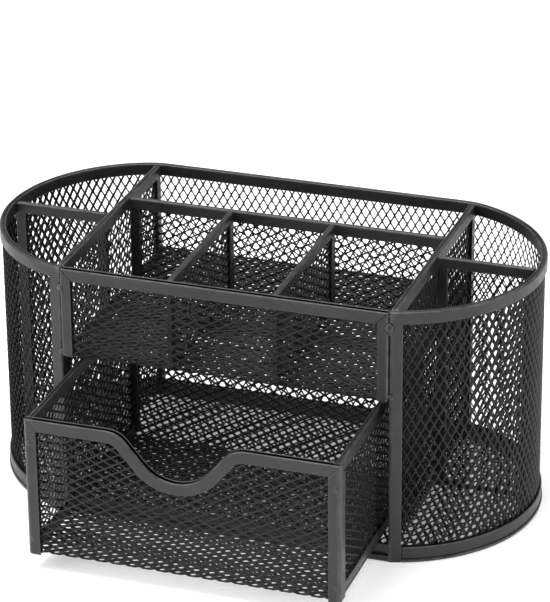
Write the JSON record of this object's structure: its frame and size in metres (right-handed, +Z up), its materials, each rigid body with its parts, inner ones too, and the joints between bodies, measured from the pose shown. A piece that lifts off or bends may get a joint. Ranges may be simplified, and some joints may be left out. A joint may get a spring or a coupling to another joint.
{
  "type": "pen stand with drawer",
  "caption": "Mesh desk organiser with half-round pen cups at both ends, small open compartments above and a sliding drawer with a scooped finger notch below.",
  "frame": {"origin": "on the resting surface, under the middle of the footprint as stored, with the drawer pulled out as in the picture", "axes": "+Z up, +X to the right seen from the front, the drawer opens towards -Y"},
  "size_m": [0.2262, 0.1647, 0.1085],
  "materials": {
    "mesh": "black powder-coated expanded metal",
    "strip": "satin black powder-coated folded steel",
    "weld": "painted-over spot weld"
  },
  "bodies": {
    "stand": {"shell_mesh": "mesh", "top_rim": "strip", "corner_post_left": "strip", "corner_post_right": "strip", "base_ring": "strip", "base_mesh": "mesh", "main_divider_mesh_left": "mesh", "main_divider_mesh_right": "mesh", "main_divider_top_strip_left": "strip", "main_divider_top_strip_right": "strip", "main_divider_front_strip_left": "strip", "main_divider_front_strip_right": "strip", "main_divider_back_strip_left": "strip", "main_divider_back_strip_right": "strip", "cup_divider_mesh_left": "mesh", "cup_divider_mesh_right": "mesh", "cup_divider_top_strip_left": "strip", "cup_divider_top_strip_right": "strip", "cup_divider_inner_strip_left": "strip", "cup_divider_inner_strip_right": "strip", "cup_divider_outer_strip_left": "strip", "cup_divider_outer_strip_right": "strip", "tray_mesh": "mesh", "tray_top_strip": "strip", "tray_side_strip_left": "strip", "tray_side_strip_right": "strip", "cross_divider_mesh": "mesh", "cross_divider_top_strip": "strip", "cross_divider_side_strip_left": "strip", "cross_divider_side_strip_right": "strip", "small_divider_mesh_left": "mesh", "small_divider_mesh_right": "mesh", "small_divider_top_strip_left": "strip", "small_divider_top_strip_right": "strip", "small_divider_front_strip_left": "strip", "small_divider_front_strip_right": "strip", "small_divider_back_strip_left": "strip", "small_divider_back_strip_right": "strip", "stand_weld_spots": "weld"},
    "drawer": {"drawer_mesh": "mesh", "drawer_front_rim": "strip", "drawer_back_top_strip": "strip", "drawer_side_mesh_left": "mesh", "drawer_side_mesh_right": "mesh", "drawer_front_strip_left": "strip", "drawer_front_strip_right": "strip", "drawer_side_top_strip_left": "strip", "drawer_side_top_strip_right": "strip", "drawer_side_bottom_strip_left": "strip", "drawer_side_bottom_strip_right": "strip", "drawer_back_strip_left": "strip", "drawer_back_strip_right": "strip", "drawer_weld_spots": "weld"}
  },
  "joints": [
    {"name": "drawer_slide", "type": "slide", "parent": "stand", "child": "drawer", "axis": [0, -1, 0], "range_m": [-0.0485, 0.035]}
  ]
}
